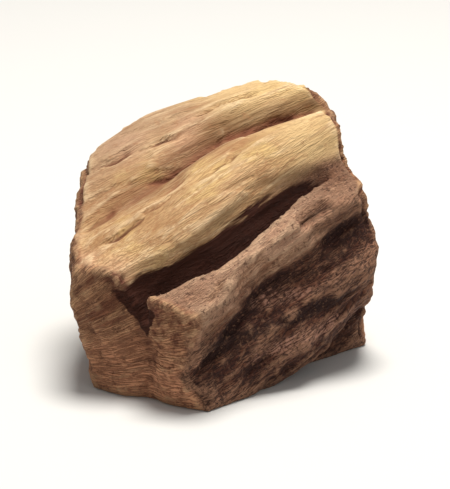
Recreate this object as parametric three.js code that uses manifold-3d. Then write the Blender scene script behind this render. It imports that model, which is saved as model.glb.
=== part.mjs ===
// One chip of cut, dried burdock root, lying on the flat face that the knife left under it.
//
// Millimetres, +Z up, origin on the table under the middle of the chip. The chip is shaped in the
// root's own frame and then turned to lie as it rests. In the root's frame X runs along the grain,
// -Y faces the bark, +Y the back of the chip, and +Z leaves the split face on top.

import * as THREE from "three";
import { mergeVertices } from "three/addons/utils/BufferGeometryUtils.js";
import Module from "manifold-3d";

const wasm = await Module();
wasm.setup();

// The stretch of root that the chip was cut from. It tapers along the grain.
const ROOT_LENGTH = 18;
const ROOT_RADIUS = 7.3;
const ROOT_TAPER = 0.06;
const PITH = { y: 6.2, z: -4.2 };

// Dried bark: broad wrinkles along the grain, the first furrow a little under the lip, with finer
// wrinkles over them. The finer ones come and go round a share of their height.
const WRINKLES = { spacing: 4.2, height: 0.7, firstFurrow: -1.6 };
const FINE_WRINKLES = { spacing: 1.35, height: 0.16, share: 0.7, comeAndGo: [[0.5, 0.7, 1, 0]] };

// The split face of the wood: a low crown, with ridges that fan out from beyond the far end. The
// furrows between them fade towards the near end.
const CROWN = { x: 1.6, y: 4.2, height: 0.35, alongRadius: 30, acrossRadius: 13 };
const FAN = { x: 18, y: 1.3, firstFurrow: -5, furrowAngle: 15 };
const RIDGES = { height: 0.8, fade: 0.6, fadeStart: 2.5, fadeEnd: -3 };

// The drying crack between the wood and the lip of cortex. Its line turns a little from the grain
// and bows, and it leans under the lip as it goes down. It stays wide near its ends, by its
// fullness, and opens towards the near end.
const CRACK = { y: 1.05, halfLength: 5.4, halfWidth: 0.52, depth: 2.4, turn: -0.05, lean: 0.3 };
const CRACK_SHAPE = { fullness: 0.3, narrowest: 0.05, opening: 0.05 };

// The wood rounds down to the crack, over this width. The lip lies lower, and more so towards the
// far end.
const WOOD_EDGE = 1.1;
const LIP = { drop: 0.38, tilt: 0.085 };

// The cut ends: the pith shrinks into a hollow, the cambium into a groove, and the rays stand up.
const CAMBIUM = { radius: 5.7, grooveDepth: 0.32, grooveWidth: 0.8 };
const PITH_HOLLOW = { radius: 1.7, depth: 0.45 };
const RAYS = { count: 17, height: 0.05, bend: 0.8 };

// A face torn along the grain comes off in strips.
const STRIPS = { spacing: 2.1, height: 0.36 };

// Slow waves that keep these forms from being even. Each is a height, radians for a millimetre
// along the surface and across it, and where it starts.
const WRINKLE_DRIFT = [[0.35, 0.55, 0, 0.4], [0.15, 1.3, 0, 2]];
const FINE_WRINKLE_DRIFT = [[0.35, 0.9, 0, 1.1], [0.25, 0.4, 0.7, 0]];
const BARK_SWELLING = [[0.12, 0.8, 0.9, 0], [0.08, 1.7, -1.2, 1]];
const FAN_DRIFT = [[0.07, 0.9, 0.5, 0]];
const CRACK_DRIFT = [[0.33, 0.7, 0, -1.35]];
const END_SWELLING = [[0.1, 0.9, 1.3, 0]];
const STRIP_DRIFT = [[0.3, 0.5, 0, 0], [0.12, 1.2, 0, 1]];
const TORN_SWELLING = [[0.1, 1.4, 2.3, 1.8]];

// Furrows are narrower than ridges by this power, and a relief keeps its middle level by taking
// away the mean height of its ridges.
const RIDGE_POWER = 0.7;
const RIDGE_MEAN = 0.7;

// Short checks that opened along the rays as the ends dried: the middle of each one, along the
// grain, out from the pith and at an angle round it.
const CHECK = { halfLength: 1.2, halfWidth: 0.11, depth: 0.8 };
const CHECKS = [
  { along: -3.2, outward: 2.3, angle: 100 },
  { along: 6.1, outward: 4.3, angle: 178 },
  { along: 5.8, outward: 2.2, angle: 120 },
];

// How the chip lies: the grain's heading and rise above the table, the roll about the grain, and
// the height of the root's frame above the table.
const GRAIN_HEADING = THREE.MathUtils.degToRad(34.5);
const GRAIN_RISE = THREE.MathUtils.degToRad(22.6);
const GRAIN_ROLL = THREE.MathUtils.degToRad(8.1);
const LIE_HEIGHT = 5.6;

// Distances between the points of a surface, along the grain and across it.
const STEP_ALONG = 0.5;
const STEP_ACROSS = 0.3;
const CUTTER_SIZE = 26;
const CUTTER_DEPTH = 12;
const CRACK_FACETS = { round: 28, high: 20 };
const CHECK_FACETS = { round: 14, high: 10 };
const SAME_POINT = 1e-5;
const DRY_WOOD_COLOR = 0xaf8760;

// Rounded ridges with sharp furrows between them, from 0 in a furrow to 1 on a ridge, less the mean.
function ridge(turns) {
  return Math.abs(Math.sin(Math.PI * turns)) ** RIDGE_POWER - RIDGE_MEAN;
}

// A smooth hump: 1 in its middle, nearly 0 from its width on.
function hump(distance, width) {
  return Math.exp(-(((1.5 * distance) / width) ** 2));
}

// The sum of slow waves at a place.
function swell(waves, along, across) {
  let sum = 0;
  for (const [height, turnAlong, turnAcross, start] of waves) {
    sum += height * Math.sin(turnAlong * along + turnAcross * across + start);
  }
  return sum;
}

// How far the bark stands out at a place along the grain and round the root.
function barkRelief(along, arc) {
  const broadPlace = arc - WRINKLES.firstFurrow + swell(WRINKLE_DRIFT, along, arc);
  const broad = WRINKLES.height * ridge(broadPlace / WRINKLES.spacing);
  const finePlace = arc + swell(FINE_WRINKLE_DRIFT, along, arc);
  const share = FINE_WRINKLES.share + swell(FINE_WRINKLES.comeAndGo, along, arc);
  const fine = FINE_WRINKLES.height * share * ridge(finePlace / FINE_WRINKLES.spacing);
  return broad + fine + swell(BARK_SWELLING, along, arc);
}

// Where the crack's line runs at a place along the grain.
function crackLine(x) {
  return CRACK.y + CRACK.turn * x + swell(CRACK_DRIFT, x, 0);
}

// How far a place lies from the crack's line, on the wood's side of it.
function beyondCrack(x, y) {
  return y - crackLine(x);
}

// The height of the split face: the crown, the fan of ridges and the step down to the lip.
function splitRelief({ x, y }) {
  const alongCrown = (x - CROWN.x) ** 2 / (2 * CROWN.alongRadius);
  const acrossCrown = (y - CROWN.y) ** 2 / (2 * CROWN.acrossRadius);
  const angle = THREE.MathUtils.radToDeg(Math.atan2(y - FAN.y, FAN.x - x));
  const turns = Math.max(angle - FAN.firstFurrow, 0) / FAN.furrowAngle + swell(FAN_DRIFT, x, y);
  const wood = THREE.MathUtils.smoothstep(beyondCrack(x, y), -CRACK.halfWidth, WOOD_EDGE);
  const fading = 1 - RIDGES.fade * (1 - THREE.MathUtils.smoothstep(x, RIDGES.fadeEnd, RIDGES.fadeStart));
  const ridges = RIDGES.height * fading * ridge(turns) * wood;
  const lipDrop = (LIP.drop + LIP.tilt * x) * (1 - wood);
  return CROWN.height - alongCrown - acrossCrown + ridges - lipDrop;
}

// A cut end, by the distance and the angle from the pith.
function endRelief({ y, z }) {
  const radius = Math.hypot(y - PITH.y, z - PITH.z);
  const angle = Math.atan2(z - PITH.z, y - PITH.y);
  const groove = CAMBIUM.grooveDepth * hump(radius - CAMBIUM.radius, CAMBIUM.grooveWidth);
  const hollow = PITH_HOLLOW.depth * hump(radius, PITH_HOLLOW.radius);
  const wandering = RAYS.count * angle + RAYS.bend * Math.sin(radius);
  const rays = RAYS.height * Math.sin(wandering) * (1 - hump(radius, 2 * PITH_HOLLOW.radius));
  return swell(END_SWELLING, y, z) + rays - groove - hollow;
}

// A face torn along the grain.
function tornRelief({ x, z }) {
  const strips = STRIPS.height * ridge((z + swell(STRIP_DRIFT, x, z)) / STRIPS.spacing);
  return strips + swell(TORN_SWELLING, x, z);
}

// The knife cuts and splits: a point that each passes through, its outward normal, the radius of
// its belly, and its relief.
const CUTS = [
  // The split on top.
  { at: [1.6, 4, 0], normal: [0, 0, 1], bellyRadius: 1000, relief: splitRelief },
  // The near end and its corner.
  { at: [-3.6, 1.9, 0], normal: [-0.88, -0.38, 0.33], bellyRadius: 60, relief: endRelief },
  { at: [-2.5, 5.5, 0], normal: [-0.75, 0.63, 0.25], bellyRadius: 20, relief: endRelief },
  // The torn back and its far corner.
  { at: [2.5, 8.1, 0], normal: [0, 0.94, -0.34], bellyRadius: 25, relief: tornRelief },
  { at: [5.8, 6, 0], normal: [0.75, 0.62, -0.2], bellyRadius: 25, relief: tornRelief },
  // The far end.
  { at: [5.9, 0.6, 0], normal: [0.92, -0.38, -0.06], bellyRadius: 25, relief: endRelief },
];

// A closed geometry becomes a solid once only its positions are left and shared ones are merged.
function solidOf(geometry) {
  const bare = geometry.clone();
  bare.deleteAttribute("normal");
  bare.deleteAttribute("uv");
  const merged = mergeVertices(bare, SAME_POINT);
  const vertProperties = new Float32Array(merged.attributes.position.array);
  const triVerts = new Uint32Array(merged.index.array);
  return new wasm.Manifold(new wasm.Mesh({ numProp: 3, vertProperties, triVerts }));
}

function geometryOf(solid) {
  const mesh = solid.getMesh();
  const geometry = new THREE.BufferGeometry();
  geometry.setAttribute("position", new THREE.BufferAttribute(mesh.vertProperties, 3));
  geometry.setIndex(new THREE.BufferAttribute(mesh.triVerts, 1));
  return geometry;
}

// Calls move(point) on every vertex of a geometry and stores the point that it changed.
function moveVertices(geometry, move) {
  const position = geometry.attributes.position;
  const point = new THREE.Vector3();
  for (let i = 0; i < position.count; i += 1) {
    point.fromBufferAttribute(position, i);
    move(point);
    position.setXYZ(i, point.x, point.y, point.z);
  }
  return geometry;
}

// The stretch of root, round and wrinkled, with its pith in its place.
function rootStretch() {
  const around = Math.round((2 * Math.PI * ROOT_RADIUS) / STEP_ACROSS);
  const along = Math.round(ROOT_LENGTH / STEP_ALONG);
  const root = new THREE.CylinderGeometry(ROOT_RADIUS, ROOT_RADIUS, ROOT_LENGTH, around, along);
  root.rotateZ(-Math.PI / 2);
  moveVertices(root, (point) => {
    const angle = Math.atan2(-point.z, -point.y);
    const growth = barkRelief(point.x, ROOT_RADIUS * angle) - ROOT_TAPER * point.x;
    const stretch = 1 + growth / ROOT_RADIUS;
    point.y *= stretch;
    point.z *= stretch;
  });
  root.translate(0, PITH.y, PITH.z);
  return solidOf(root);
}

// The frame of a cut: its Z is the outward normal, and its X lies as near to the grain as it can.
function cutFrame(at, normal) {
  const outward = new THREE.Vector3(...normal).normalize();
  const sideways = new THREE.Vector3().crossVectors(outward, new THREE.Vector3(1, 0, 0));
  if (sideways.length() < 0.5) {
    sideways.crossVectors(outward, new THREE.Vector3(0, 0, 1));
  }
  sideways.normalize();
  const forward = new THREE.Vector3().crossVectors(sideways, outward);
  return new THREE.Matrix4().makeBasis(forward, sideways, outward).setPosition(...at);
}

// A block that stands on a cut and takes away what is beyond it. Its lower face carries the relief.
function cutter({ at, normal, bellyRadius, relief }) {
  const across = Math.round(CUTTER_SIZE / STEP_ACROSS);
  const along = Math.round(CUTTER_SIZE / STEP_ALONG);
  const block = new THREE.BoxGeometry(CUTTER_SIZE, CUTTER_SIZE, CUTTER_DEPTH, along, across, 1);
  block.translate(0, 0, CUTTER_DEPTH / 2);
  const frame = cutFrame(at, normal);
  moveVertices(block, (point) => {
    if (point.z < CUTTER_DEPTH / 2) {
      const belly = (point.x ** 2 + point.y ** 2) / (2 * bellyRadius);
      point.z = relief(point.clone().applyMatrix4(frame)) - belly;
    }
  });
  return solidOf(block.applyMatrix4(frame));
}

// The open crack: a thin lens that follows the crack's line.
function dryingCrack() {
  const lens = new THREE.SphereGeometry(1, CRACK_FACETS.round, CRACK_FACETS.high);
  lens.rotateZ(Math.PI / 2);
  lens.scale(CRACK.halfLength, CRACK.halfWidth, CRACK.depth);
  moveVertices(lens, (point) => {
    const ellipse = Math.max(1 - (point.x / CRACK.halfLength) ** 2, CRACK_SHAPE.narrowest);
    point.y *= (1 - CRACK_SHAPE.opening * point.x) / ellipse ** CRACK_SHAPE.fullness;
    point.y += crackLine(point.x) + CRACK.lean * point.z;
  });
  return solidOf(lens);
}

// A check in a cut end: a small flat lens that points away from the pith.
function dryingCheck({ along, outward, angle }) {
  const lens = new THREE.SphereGeometry(1, CHECK_FACETS.round, CHECK_FACETS.high);
  lens.scale(CHECK.depth, CHECK.halfLength, CHECK.halfWidth);
  lens.translate(along, outward, 0);
  lens.rotateX(THREE.MathUtils.degToRad(angle));
  lens.translate(0, PITH.y, PITH.z);
  return solidOf(lens);
}

// Turns the chip to lie as it rests, and cuts it flat where it meets the table.
function layDown(solid) {
  const turn = new THREE.Matrix4().makeRotationZ(GRAIN_HEADING);
  turn.multiply(new THREE.Matrix4().makeRotationY(-GRAIN_RISE));
  turn.multiply(new THREE.Matrix4().makeRotationX(GRAIN_ROLL));
  const turned = geometryOf(solid).applyMatrix4(turn);
  const under = new THREE.BoxGeometry(3 * CUTTER_SIZE, 3 * CUTTER_SIZE, CUTTER_DEPTH);
  under.translate(0, 0, -LIE_HEIGHT - CUTTER_DEPTH / 2);
  const chip = geometryOf(solidOf(turned).subtract(solidOf(under)));
  chip.computeBoundingBox();
  const middle = chip.boundingBox.getCenter(new THREE.Vector3());
  return chip.translate(-middle.x, -middle.y, LIE_HEIGHT);
}

function burdockRootChip() {
  let chip = rootStretch();
  for (const cut of CUTS) {
    chip = chip.subtract(cutter(cut));
  }
  chip = chip.subtract(dryingCrack());
  for (const check of CHECKS) {
    chip = chip.subtract(dryingCheck(check));
  }
  const dryWood = new THREE.MeshStandardMaterial({ color: DRY_WOOD_COLOR, roughness: 0.85 });
  const mesh = new THREE.Mesh(layDown(chip), dryWood);
  mesh.name = "burdock_root_chip";
  return mesh;
}

const part = new THREE.Group();
part.add(burdockRootChip());

export default part;
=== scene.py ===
"""One chip of cut, dried burdock root, modelled and finished over its CAD solid.

The chip is shaped in millimetres in the root's own frame, as the solid is: X runs along the grain,
-Y faces the bark, +Y the back, and +Z leaves the split face on top. It is laid down in metres last.
"""

import math

import bpy
import numpy as np
from mathutils import Matrix, Vector, noise


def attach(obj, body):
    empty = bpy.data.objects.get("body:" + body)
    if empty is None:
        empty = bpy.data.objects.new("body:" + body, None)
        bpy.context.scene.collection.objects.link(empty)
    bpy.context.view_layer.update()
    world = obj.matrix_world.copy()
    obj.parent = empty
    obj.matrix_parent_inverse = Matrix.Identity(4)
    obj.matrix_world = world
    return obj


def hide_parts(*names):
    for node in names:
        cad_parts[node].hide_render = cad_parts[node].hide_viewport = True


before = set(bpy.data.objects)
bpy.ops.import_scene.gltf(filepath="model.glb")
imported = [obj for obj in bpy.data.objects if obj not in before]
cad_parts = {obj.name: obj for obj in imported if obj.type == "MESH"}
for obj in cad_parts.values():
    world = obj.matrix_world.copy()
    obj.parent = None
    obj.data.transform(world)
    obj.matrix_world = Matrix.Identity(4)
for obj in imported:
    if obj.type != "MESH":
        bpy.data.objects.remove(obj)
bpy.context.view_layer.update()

MM = 0.001

# The stretch of root that the chip was cut from, and its wrinkled bark.
ROOT_LENGTH = 18
ROOT_RADIUS = 7.3
ROOT_TAPER = 0.06
PITH_Y, PITH_Z = 6.2, -4.2
WRINKLE_SPACING, WRINKLE_HEIGHT, FIRST_FURROW = 4.2, 0.7, -1.6
FINE_SPACING, FINE_HEIGHT, FINE_SHARE = 1.35, 0.16, 0.7

# The split face: its crown, the ridges that fan out from beyond the far end, and the crack
# between the wood and the lip of cortex.
CROWN_X, CROWN_Y, CROWN_HEIGHT, CROWN_ALONG, CROWN_ACROSS = 1.6, 4.2, 0.35, 30, 13
FAN_X, FAN_Y, FAN_FIRST, FAN_ANGLE = 18, 1.3, -5, 15
RIDGE_HEIGHT, RIDGE_FADE, FADE_START, FADE_END = 0.8, 0.6, 2.5, -3
CRACK_Y, CRACK_HALF, CRACK_WIDTH, CRACK_DEPTH = 1.05, 5.4, 0.52, 2.4
CRACK_LEAN, CRACK_TURN = 0.3, -0.05
CRACK_FULLNESS, CRACK_NARROWEST, CRACK_OPENING = 0.3, 0.05, 0.05
CLOSED_WIDTH, CLOSES_BELOW, CLOSED_AT = 0.15, 0.45, 0.95
WOOD_EDGE, LIP_DROP, LIP_TILT = 1.1, 0.38, 0.085

# The cut ends: a groove at the cambium, a hollow at the pith, and rays that stand up.
CAMBIUM_RADIUS, CAMBIUM_DEPTH, CAMBIUM_WIDTH = 5.7, 0.32, 0.8
PITH_RADIUS, PITH_DEPTH = 1.7, 0.45
RAY_COUNT, RAY_HEIGHT, RAY_BEND = 17, 0.05, 0.8

# A face torn along the grain comes off in strips.
STRIP_SPACING, STRIP_HEIGHT = 2.1, 0.36

# Slow waves that keep these forms from being even: a height, radians for a millimetre along the
# surface and across it, and where it starts.
WRINKLE_DRIFT = [(0.35, 0.55, 0, 0.4), (0.15, 1.3, 0, 2)]
FINE_DRIFT = [(0.35, 0.9, 0, 1.1), (0.25, 0.4, 0.7, 0)]
FINE_COME_AND_GO = [(0.5, 0.7, 1, 0)]
BARK_SWELLING = [(0.12, 0.8, 0.9, 0), (0.08, 1.7, -1.2, 1)]
FAN_DRIFT = [(0.07, 0.9, 0.5, 0)]
CRACK_DRIFT = [(0.33, 0.7, 0, -1.35)]
END_SWELLING = [(0.1, 0.9, 1.3, 0)]
STRIP_DRIFT = [(0.3, 0.5, 0, 0), (0.12, 1.2, 0, 1)]
TORN_SWELLING = [(0.1, 1.4, 2.3, 1.8)]
RIDGE_POWER, RIDGE_MEAN = 0.7, 0.7

# Fine relief of each kind of surface, in layers of noise: the height, the size along, across and
# through the grain, and the seed.
SPLIT_FIBRES = [(0.06, (3.2, 0.42, 1.2), 2), (0.035, (1.6, 0.26, 0.8), 3)]
LIP_SPONGE = [(0.05, (1.6, 0.5, 0.5), 5), (0.03, (0.6, 0.4, 0.4), 6)]
TORN_FIBRES = [(0.08, (3.5, 0.45, 0.45), 7), (0.05, (1.8, 0.28, 0.28), 8)]
BARK_SCURF = [(1, (0.75, 0.36, 1), 18), (0.7, (0.34, 0.24, 1), 19)]
BARK_RINGS = [(0.05, (0.5, 1.3, 3), 10)]
END_PITS = [(0.06, (0.5, 0.5, 0.5), 12)]
END_GRAIN = [(0.04, (0.22, 0.22, 0.22), 20)]
CRACK_WALLS = [(0.07, (2.2, 0.3, 0.32), 17)]
RAGGED_WIDTH = [(0.2, (0.9, 4, 0.9), 1)]
WANDERING_RIM = [(0.4, (1.5, 0.5, 0.5), 23)]
EDGE_CHIPS = [(0.07, (0.4, 0.4, 0.4), 22)]

# Crests between creases: sizes and seed. Ledges and chips: sizes, seed, and the noise between which
# they step up.
SPLIT_STRANDS, BARK_CREASES, END_RAYS = ((4.5, 0.8, 2), 4), ((2.6, 0.5, 3), 9), ((3.5, 0.22, 0.22), 11)
SPLIT_LEDGES = [((6, 1.1, 3), 13, -0.05, 0.05), ((4, 0.7, 3), 14, 0.05, 0.13)]
TORN_LEDGES, BARK_FLAKES = ((5, 1.1, 0.9), 15, -0.04, 0.06), ((2.4, 1.1, 3), 16, 0.1, 0.18)
WORN_CHIPS = ((1.3, 1.3, 1.3), 21, -0.1, 0.25)
STRAND_HEIGHT, LEDGE_HEIGHT, LEDGE_MEAN = 0.08, 0.07, 0.8
TORN_LEDGE_HEIGHT, CREASE_HEIGHT, FLAKE_DEPTH, SCURF_HEIGHT = 0.09, 0.17, 0.06, 0.06
END_RAY_HEIGHT, CHIP_DEPTH = 0.12, 0.22
# How far apart in the noise two seeds lie, and the reach of the fan and the radius of the cut ends
# at which a turn is as wide as in the noise.
SEED_STEP, FAN_MIDDLE, RAY_MIDDLE = 17.3, 12, 4

# The masks. A pair is where a mask is full and where it is gone, in millimetres from its surface.
CUT_EDGE, BARK_EDGE, UNDER_EDGE, SPLIT_EDGE = (0.08, 0.3), (0.08, 0.35), (0.05, 0.35), (0.4, 1.3)

# For the crack and the checks the pair is in shares of their size, widened by a margin first, and
# the crack's walls begin a little below its mouth.
CRACK_EDGE, CRACK_MARGIN, CRACK_MOUTH = (1.0, 1.25), 0.13, (0.12, 0.7)
CHECK_EDGE, CHECK_MARGIN, CHECK_SHARE = (0.9, 1.2), 0.04, 0.8

# The lip begins at the crack's line and its foot lies beyond it. The pale rim under the lip is
# partly lost along the grain.
# Painted shade on the lip is full beside the crack and gone at the lip's foot.
LIP_EDGE, LIP_FOOT = (-0.1, 0.35), (-1.1, -0.5)
RIM_EDGE, RIM_END, RIM_LOSS = (0.5, 1.4), (1.2, 4), 0.7

# The furrows of the fan: how wide their painted shade is, and where along the grain it and the
# painted shade on the ridges begin. That ridge shade lies a little to the back of its furrow, and
# the first furrow has none.
FURROW_SHADE_EDGE, FURROW_SHADE_START = (0.08, 0.62), (-2.5, 1)
RIDGE_SHADE_EDGE, RIDGE_SHADE_START, RIDGE_SHADE_TURN, RIDGE_SHADE_OFFSET = (0.1, 0.7), (2, 3.6), (0.5, 0.7), 0.12

# How far the surface is raised above its surroundings: the rounds of easing that level small and
# large forms, and the height that counts as full.
FINE_ROUNDS, FINE_FULL, BROAD_ROUNDS, BROAD_FULL, EDGE_ROUNDS = 20, 0.09, 150, 0.3, 12

# Short checks in the cut ends: along the grain, out from the pith, and the angle round it.
CHECK_HALF, CHECK_WIDTH, CHECK_DEPTH = 1.2, 0.11, 0.8
CHECKS = [(-3.2, 2.3, 100), (6.1, 4.3, 178), (5.8, 2.2, 120)]

# How the chip lies.
GRAIN_HEADING, GRAIN_RISE, GRAIN_ROLL = math.radians(34.5), math.radians(22.6), math.radians(8.1)
LIE_HEIGHT = 5.6
LAID = (
    Matrix.Rotation(GRAIN_HEADING, 4, "Z")
    @ Matrix.Rotation(-GRAIN_RISE, 4, "Y")
    @ Matrix.Rotation(GRAIN_ROLL, 4, "X")
)

# How finely the shapes are divided.
ROUND_STEPS, LONG_STEPS = 220, 72
CUTTER_SIZE, CUTTER_DEPTH, CUTTER_STEPS = 26, 12, 104
CRACK_STEPS, CHECK_STEPS = (96, 48), (32, 20)
VOXEL, EASING, EASING_ROUNDS = 0.075, 0.5, 3


# ---- relief formulas, in millimetres ----


def ridge(turns):
    """Rounded ridges with sharp furrows between them, less their mean height."""
    return np.abs(np.sin(np.pi * turns)) ** RIDGE_POWER - RIDGE_MEAN


def hump(distance, width):
    return np.exp(-((1.5 * distance / width) ** 2))


def smooth(value, low, high):
    t = np.clip((value - low) / (high - low), 0, 1)
    return t * t * (3 - 2 * t)


def swell(waves, along, across):
    return sum(h * np.sin(a * along + b * across + start) for h, a, b, start in waves)


def bark_relief(along, arc):
    broad_place = arc - FIRST_FURROW + swell(WRINKLE_DRIFT, along, arc)
    fine_place = arc + swell(FINE_DRIFT, along, arc)
    share = FINE_SHARE + swell(FINE_COME_AND_GO, along, arc)
    broad = WRINKLE_HEIGHT * ridge(broad_place / WRINKLE_SPACING)
    fine = FINE_HEIGHT * share * ridge(fine_place / FINE_SPACING)
    return broad + fine + swell(BARK_SWELLING, along, arc)


def fan_place(x, y):
    """Reach from the fan's centre, and the angle in degrees."""
    return np.hypot(FAN_X - x, y - FAN_Y), np.degrees(np.arctan2(y - FAN_Y, FAN_X - x))


def fan_turns(x, y):
    """Which ridge of the fan each place is on: whole numbers are the furrows."""
    _, angle = fan_place(x, y)
    return np.maximum(angle - FAN_FIRST, 0) / FAN_ANGLE + swell(FAN_DRIFT, x, y)


def crack_line(x):
    return CRACK_Y + CRACK_TURN * x + swell(CRACK_DRIFT, x, 0)


def beyond_crack(x, y):
    """How far the wood side of the crack's line each place is."""
    return y - crack_line(x)


def crack_fullness(x):
    """What makes the crack wider near its ends than an ellipse, and opens it to the near end."""
    ellipse = np.clip(1 - (x / CRACK_HALF) ** 2, CRACK_NARROWEST, 1)
    return (1 - CRACK_OPENING * x) / ellipse**CRACK_FULLNESS


def split_relief(x, y, z):
    crown = (x - CROWN_X) ** 2 / (2 * CROWN_ALONG) + (y - CROWN_Y) ** 2 / (2 * CROWN_ACROSS)
    wood = smooth(beyond_crack(x, y), -CRACK_WIDTH, WOOD_EDGE)
    fading = 1 - RIDGE_FADE * (1 - smooth(x, FADE_END, FADE_START))
    ridges = RIDGE_HEIGHT * fading * ridge(fan_turns(x, y)) * wood
    return CROWN_HEIGHT - crown + ridges - (LIP_DROP + LIP_TILT * x) * (1 - wood)


def end_relief(x, y, z):
    radius = np.hypot(y - PITH_Y, z - PITH_Z)
    angle = np.arctan2(z - PITH_Z, y - PITH_Y)
    groove = CAMBIUM_DEPTH * hump(radius - CAMBIUM_RADIUS, CAMBIUM_WIDTH)
    hollow = PITH_DEPTH * hump(radius, PITH_RADIUS)
    rays = np.sin(RAY_COUNT * angle + RAY_BEND * np.sin(radius)) * (1 - hump(radius, 2 * PITH_RADIUS))
    return swell(END_SWELLING, y, z) + RAY_HEIGHT * rays - groove - hollow


def torn_relief(x, y, z):
    strips = STRIP_HEIGHT * ridge((z + swell(STRIP_DRIFT, x, z)) / STRIP_SPACING)
    return strips + swell(TORN_SWELLING, x, z)


# Each cut: a point on it, its outward normal, the radius of its belly, its relief and its kind.
CUTS = [
    ((1.6, 4, 0), (0, 0, 1), 1000, split_relief, "split"),
    ((-3.6, 1.9, 0), (-0.88, -0.38, 0.33), 60, end_relief, "end"),
    ((-2.5, 5.5, 0), (-0.75, 0.63, 0.25), 20, end_relief, "end"),
    ((2.5, 8.1, 0), (0, 0.94, -0.34), 25, torn_relief, "torn"),
    ((5.8, 6, 0), (0.75, 0.62, -0.2), 25, torn_relief, "torn"),
    ((5.9, 0.6, 0), (0.92, -0.38, -0.06), 25, end_relief, "end"),
]


def cut_frame(at, normal):
    """The frame of a cut: Z is its outward normal, and X lies as near to the grain as it can."""
    outward = Vector(normal).normalized()
    sideways = outward.cross(Vector((1, 0, 0)))
    if sideways.length < 0.5:
        sideways = outward.cross(Vector((0, 0, 1)))
    sideways.normalize()
    forward = sideways.cross(outward)
    turn = Matrix((forward, sideways, outward)).transposed().to_4x4()
    return Matrix.Translation(at) @ turn


# ---- small helpers for modelling ----


def points_of(piece):
    flat = np.empty(len(piece.data.vertices) * 3)
    piece.data.vertices.foreach_get("co", flat)
    return flat.reshape(-1, 3)


def place_points(piece, points):
    piece.data.vertices.foreach_set("co", np.ascontiguousarray(points).ravel())
    piece.data.update()


def transformed(points, matrix):
    return points @ np.array(matrix.to_3x3()).T + np.array(matrix.translation)


def only(piece):
    """Leaves just this piece selected and active."""
    bpy.ops.object.select_all(action="DESELECT")
    piece.select_set(True)
    bpy.context.view_layer.objects.active = piece


def added(name):
    """The primitive that was just added, with its place in its mesh."""
    piece = bpy.context.object
    piece.name = name
    bpy.ops.object.transform_apply(location=True, rotation=True, scale=True)
    return piece


def take_away(piece, tool):
    only(piece)
    difference = piece.modifiers.new("take_away", "BOOLEAN")
    difference.operation = "DIFFERENCE"
    difference.solver = "EXACT"
    difference.object = tool
    bpy.ops.object.modifier_apply(modifier=difference.name)
    bpy.data.objects.remove(tool)


def rough(points, sizes, seed):
    """Smooth noise from about -1 to 1, with a size of its own in each direction."""
    scaled = points / np.array(sizes) + seed * SEED_STEP
    return np.array([noise.noise(p) for p in scaled.tolist()])


def layered(points, layers):
    return sum(height * rough(points, sizes, seed) for height, sizes, seed in layers)


def crests(points, sizes, seed):
    """Rounded crests between thin creases, from -0.5 to 0.5."""
    return 0.5 - np.abs(rough(points, sizes, seed))


def ledges(points, sizes, seed, low, high):
    """Patches at 0 and at 1 with a short slope between them."""
    return smooth(rough(points, sizes, seed), low, high)


def near(distance, full, gone):
    """1 up to the distance where a mask is full, and 0 from where it is gone."""
    return 1 - smooth(distance, full, gone)


# ---- the chip ----


def root_stretch():
    """A cylinder along the grain, given rings, wrinkles and its taper."""
    bpy.ops.mesh.primitive_cylinder_add(
        vertices=ROUND_STEPS, radius=ROOT_RADIUS, depth=ROOT_LENGTH, rotation=(0, math.radians(90), 0)
    )
    root = added("burdock_chip")
    bpy.context.tool_settings.mesh_select_mode = (False, True, False)
    bpy.ops.object.mode_set(mode="EDIT")
    bpy.ops.mesh.select_all(action="DESELECT")
    bpy.ops.object.mode_set(mode="OBJECT")
    along = points_of(root)[:, 0]
    for edge in root.data.edges:
        start, end = edge.vertices
        edge.select = bool(abs(along[start] - along[end]) > ROOT_LENGTH / 2)
    bpy.ops.object.mode_set(mode="EDIT")
    bpy.ops.mesh.subdivide(number_cuts=LONG_STEPS - 1)
    bpy.ops.object.mode_set(mode="OBJECT")
    points = points_of(root)
    angle = np.arctan2(-points[:, 2], -points[:, 1])
    growth = bark_relief(points[:, 0], ROOT_RADIUS * angle) - ROOT_TAPER * points[:, 0]
    points[:, 1:] *= (1 + growth / ROOT_RADIUS)[:, None]
    place_points(root, points + np.array((0, PITH_Y, PITH_Z)))
    return root


def belly(local, radius):
    return (local[:, 0] ** 2 + local[:, 1] ** 2) / (2 * radius)


def cutter(at, normal, belly_radius, relief):
    """A block whose lower face carries the relief of the cut."""
    bpy.ops.mesh.primitive_grid_add(
        x_subdivisions=CUTTER_STEPS, y_subdivisions=CUTTER_STEPS, size=CUTTER_SIZE
    )
    block = added("cutter")
    bpy.ops.object.mode_set(mode="EDIT")
    bpy.ops.mesh.select_all(action="SELECT")
    bpy.ops.mesh.extrude_region_move(TRANSFORM_OT_translate={"value": (0, 0, CUTTER_DEPTH)})
    bpy.ops.mesh.select_all(action="SELECT")
    bpy.ops.mesh.normals_make_consistent(inside=False)
    bpy.ops.object.mode_set(mode="OBJECT")
    points = points_of(block)
    turn = cut_frame(at, normal)
    lower = points[:, 2] < CUTTER_DEPTH / 2
    placed = transformed(points[lower], turn)
    points[lower, 2] = relief(*placed.T) - belly(points[lower], belly_radius)
    place_points(block, transformed(points, turn))
    return block


def lens(name, half_sizes, segments, rings):
    bpy.ops.mesh.primitive_uv_sphere_add(segments=segments, ring_count=rings, scale=half_sizes)
    return added(name)


def closing(z):
    """The share of its width that the crack keeps at each depth."""
    open_share = smooth(z, -CLOSED_AT * CRACK_DEPTH, -CLOSES_BELOW * CRACK_DEPTH)
    return CLOSED_WIDTH + (1 - CLOSED_WIDTH) * open_share


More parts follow.
